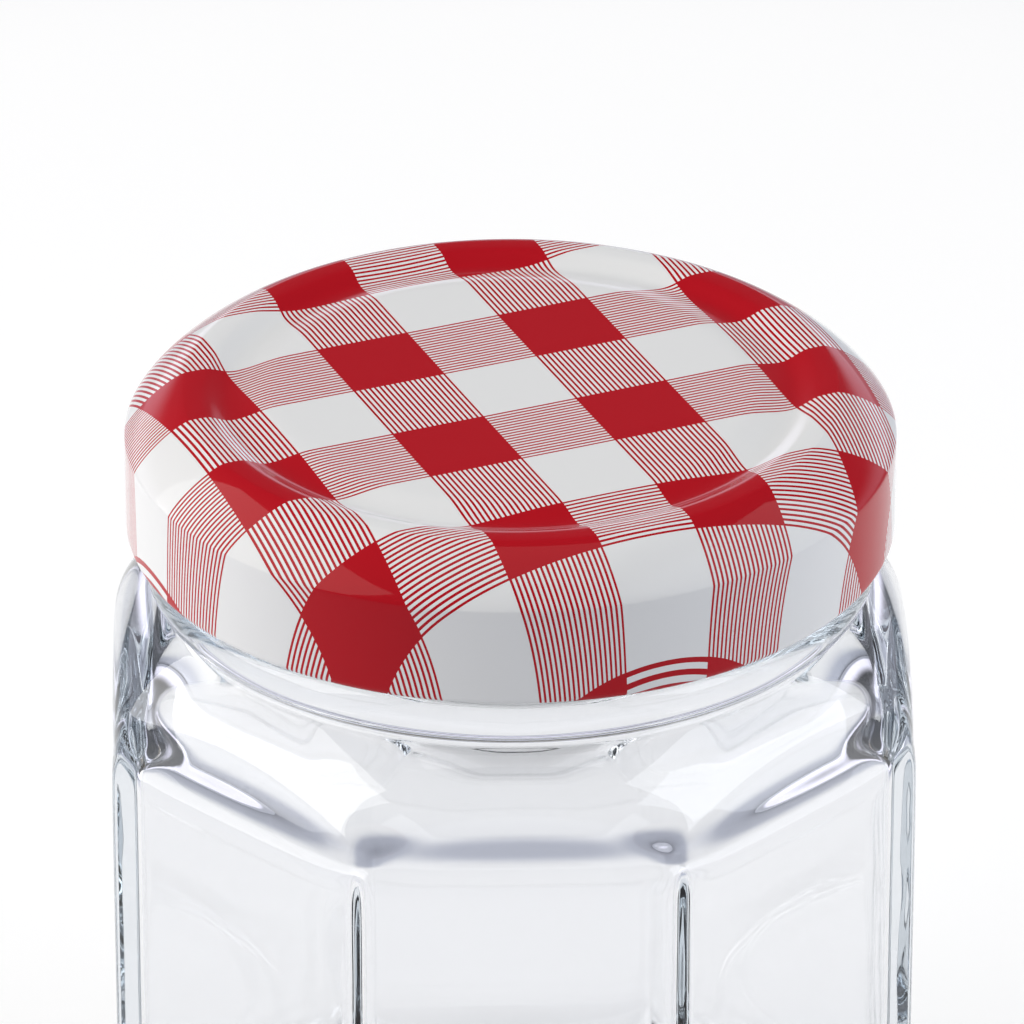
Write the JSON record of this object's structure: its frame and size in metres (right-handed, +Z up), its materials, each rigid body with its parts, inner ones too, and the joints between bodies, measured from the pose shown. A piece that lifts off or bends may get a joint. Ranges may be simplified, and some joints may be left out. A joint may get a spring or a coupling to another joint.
{
  "type": "octagonal glass jar with twist-off lid",
  "caption": "Empty clear glass jar with flat octagonal sides, a rounded shoulder and a round neck, shut by a pressed metal twist-off lid with a red and white checked print.",
  "frame": {"origin": "under the centre of the base, on the plane the jar stands on", "axes": "+Z up along the axis of the jar and lid, -Y out of one flat side, +X to the right when that side is seen from the front"},
  "size_m": [0.064, 0.064, 0.084],
  "materials": {
    "glass": "clear polished glass",
    "lid_metal": "glossy lacquered red and white checked print"
  },
  "bodies": {
    "root": {"jar": "glass", "lid": "lid_metal"}
  },
  "joints": []
}
